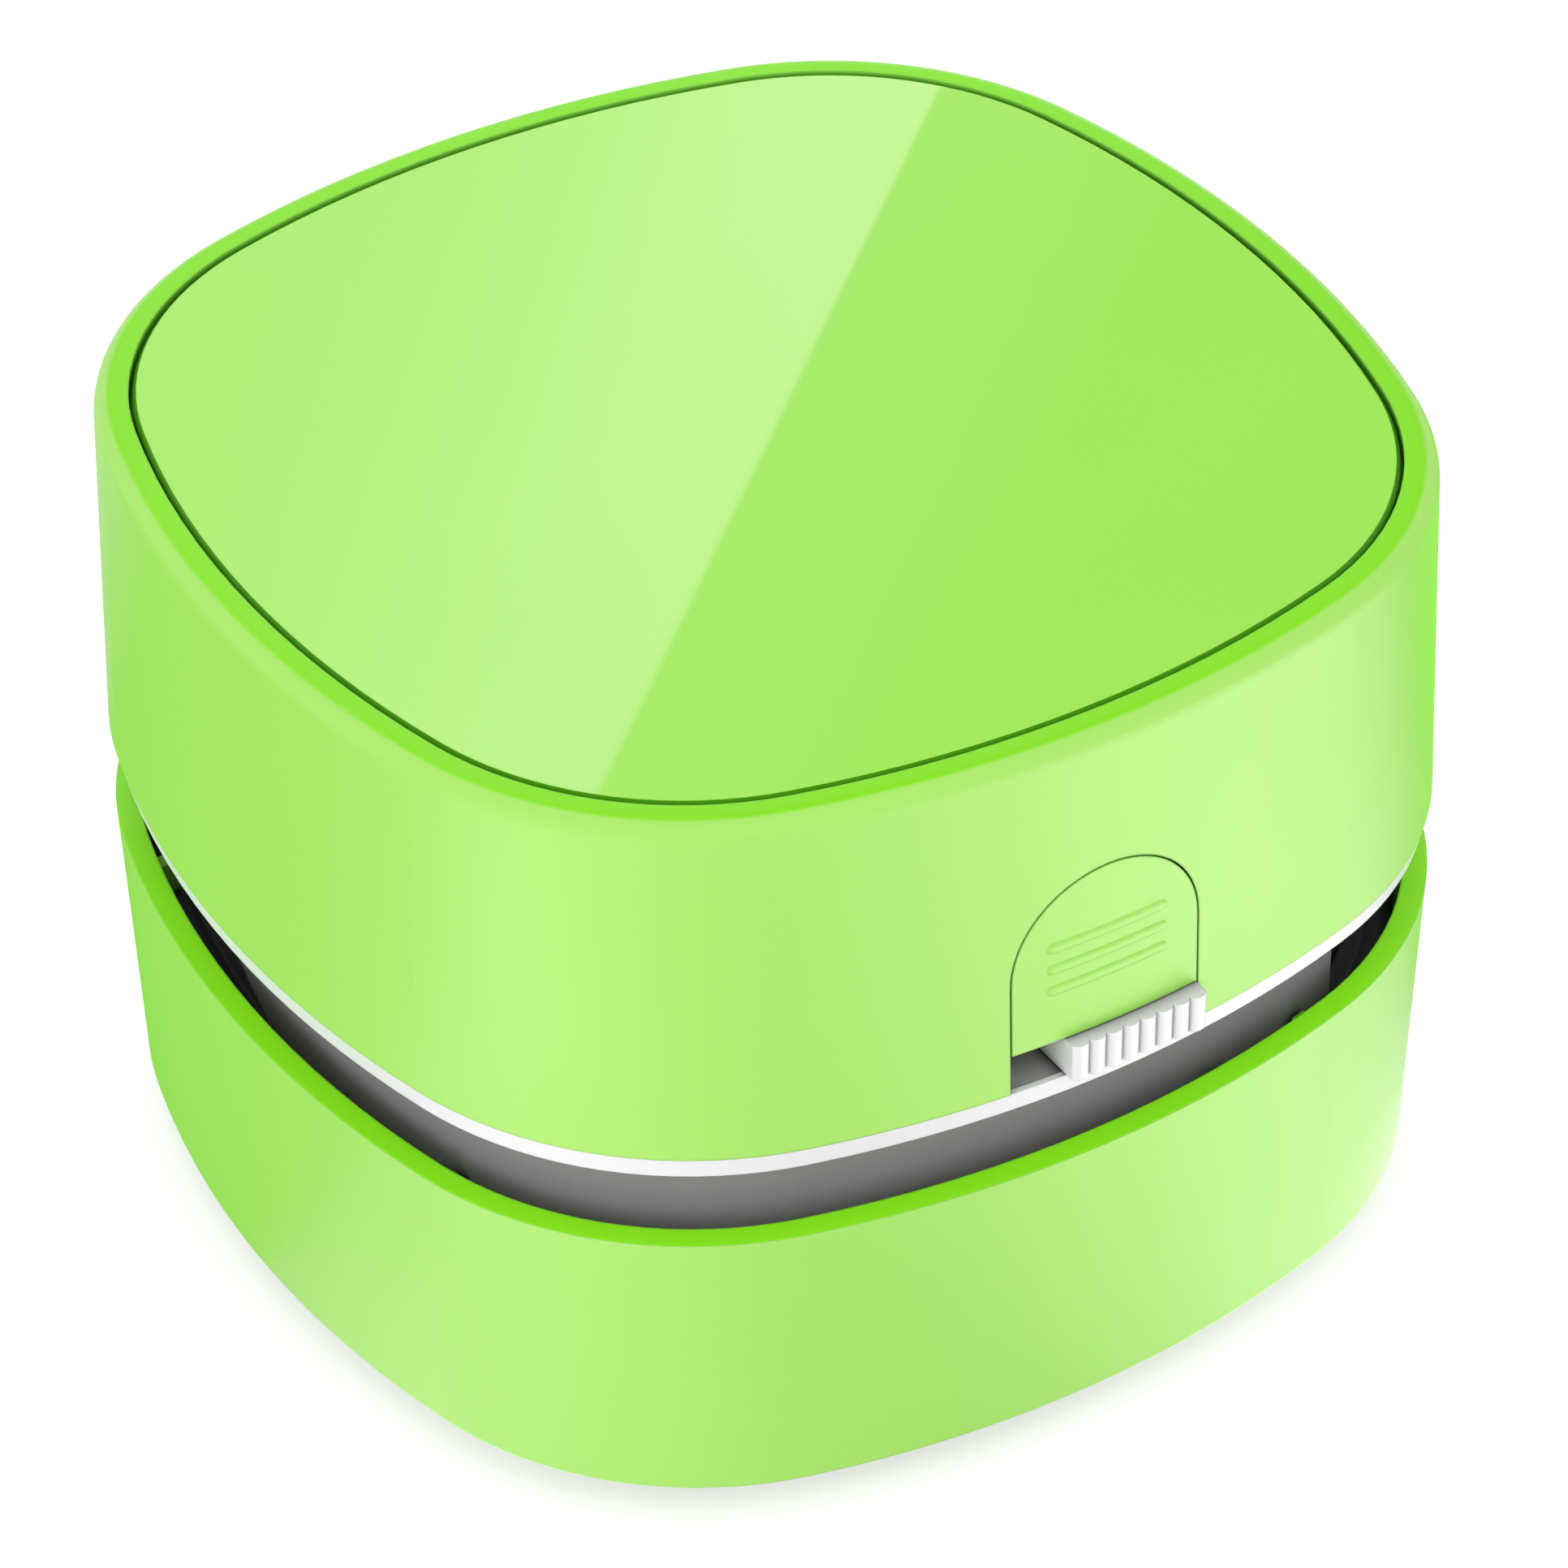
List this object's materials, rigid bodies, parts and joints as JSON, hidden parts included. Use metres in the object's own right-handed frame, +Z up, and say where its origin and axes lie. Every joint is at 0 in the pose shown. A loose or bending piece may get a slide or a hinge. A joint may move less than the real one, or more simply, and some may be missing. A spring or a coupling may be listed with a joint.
{
  "type": "desktop mini vacuum cleaner",
  "caption": "Square desktop crumb vacuum: dust box with brush and feet, lift-off fan head with inset cover, slide switch and push release button.",
  "frame": {"origin": "middle of the rectangle round the whole object, on the plane that the feet stand on", "axes": "+Z up, -Y towards the slide switch and the release button, +X to the right when looking at the switch"},
  "size_m": [0.085, 0.086, 0.06],
  "materials": {
    "case_green": "satin moulded ABS",
    "cover_gloss": "polished, clear-coated ABS",
    "trim_white": "satin white ABS",
    "frame_dark": "satin dark grey ABS",
    "frame_black": "black ABS",
    "base_grey": "pale grey ABS",
    "inlet_clear": "translucent grey ABS",
    "filter_cloth": "woven nylon mesh",
    "seal_rubber": "soft grey rubber",
    "foam": "closed-cell foam",
    "bristle": "nylon",
    "screw_steel": "zinc-plated steel",
    "motor_steel": "plated steel can",
    "motor_nylon": "white nylon",
    "brass": "brass",
    "contact_steel": "nickel-plated spring steel",
    "lead_red": "PVC insulation",
    "lead_black": "PVC insulation",
    "cell_jacket": "plain printed jacket, no name"
  },
  "bodies": {
    "box": {"dust_box": "case_green", "base_plate": "base_grey", "base_screws": "screw_steel", "inlet_tube": "inlet_clear", "inlet_hood": "inlet_clear", "brush_ring": "base_grey", "bristles": "bristle", "foot_pad_1": "seal_rubber", "foot_pad_2": "seal_rubber", "foot_pad_3": "seal_rubber", "foot_pad_4": "seal_rubber"},
    "filter": {"filter_frame": "frame_black", "filter_mesh": "filter_cloth"},
    "head": {"upper_casing": "case_green", "trim_ring": "trim_white", "deck": "frame_black", "deck_screws": "screw_steel", "neck_shell": "frame_dark", "neck_seal": "seal_rubber", "fan_plate": "frame_black", "grille_screws": "screw_steel", "motor_can": "motor_steel", "motor_bush": "brass", "motor_end_cap": "motor_nylon", "motor_terminals": "brass", "battery_tray": "frame_black", "tray_screws": "screw_steel", "contact_plate_left": "contact_steel", "contact_plate_right": "contact_steel", "contact_link": "contact_steel", "cell_spring_left": "contact_steel", "cell_spring_right": "contact_steel", "lead_cell_to_switch": "lead_red", "lead_switch_to_motor": "lead_red", "lead_cell_to_motor": "lead_black", "switch_case": "frame_black", "switch_pins": "brass", "release_spring": "contact_steel"},
    "rotor": {"impeller": "frame_black", "motor_shaft": "screw_steel"},
    "cover": {"top_cover": "cover_gloss", "cover_foam_left": "foam", "cover_foam_right": "foam"},
    "cells": {"cell_left": "cell_jacket", "cell_right": "cell_jacket"},
    "button": {"release_button": "case_green"},
    "knob": {"switch_knob": "trim_white", "switch_lever": "frame_black"}
  },
  "joints": [
    {"name": "head_lift", "type": "slide", "parent": "box", "child": "head", "axis": [0, 0, 1], "range_m": [0, 0.045]},
    {"name": "filter_lift", "type": "slide", "parent": "box", "child": "filter", "axis": [0, 0, 1], "range_m": [0, 0.018]},
    {"name": "cover_lift", "type": "slide", "parent": "head", "child": "cover", "axis": [0, 0, 1], "range_m": [0, 0.03]},
    {"name": "cells_lift", "type": "slide", "parent": "head", "child": "cells", "axis": [0, 0, 1], "range_m": [0, 0.015]},
    {"name": "fan_spin", "type": "hinge", "parent": "head", "child": "rotor", "pos_m": [0, 0, 0.0316], "axis": [0, 0, 1], "continuous": true},
    {"name": "release_press", "type": "slide", "parent": "head", "child": "button", "axis": [0, 1, 0], "range_m": [0, 0.0016], "stiffness_N_per_m": 400, "springref_m": -0.003, "deforming": ["release_spring"]},
    {"name": "switch_slide", "type": "slide", "parent": "head", "child": "knob", "axis": [-1, 0, 0], "range_m": [0, 0.004]}
  ],
  "couplings": [
    {"joint": "filter_lift", "follows": "head_lift", "ratio": 0.4},
    {"joint": "cells_lift", "follows": "cover_lift", "ratio": 0.5}
  ]
}
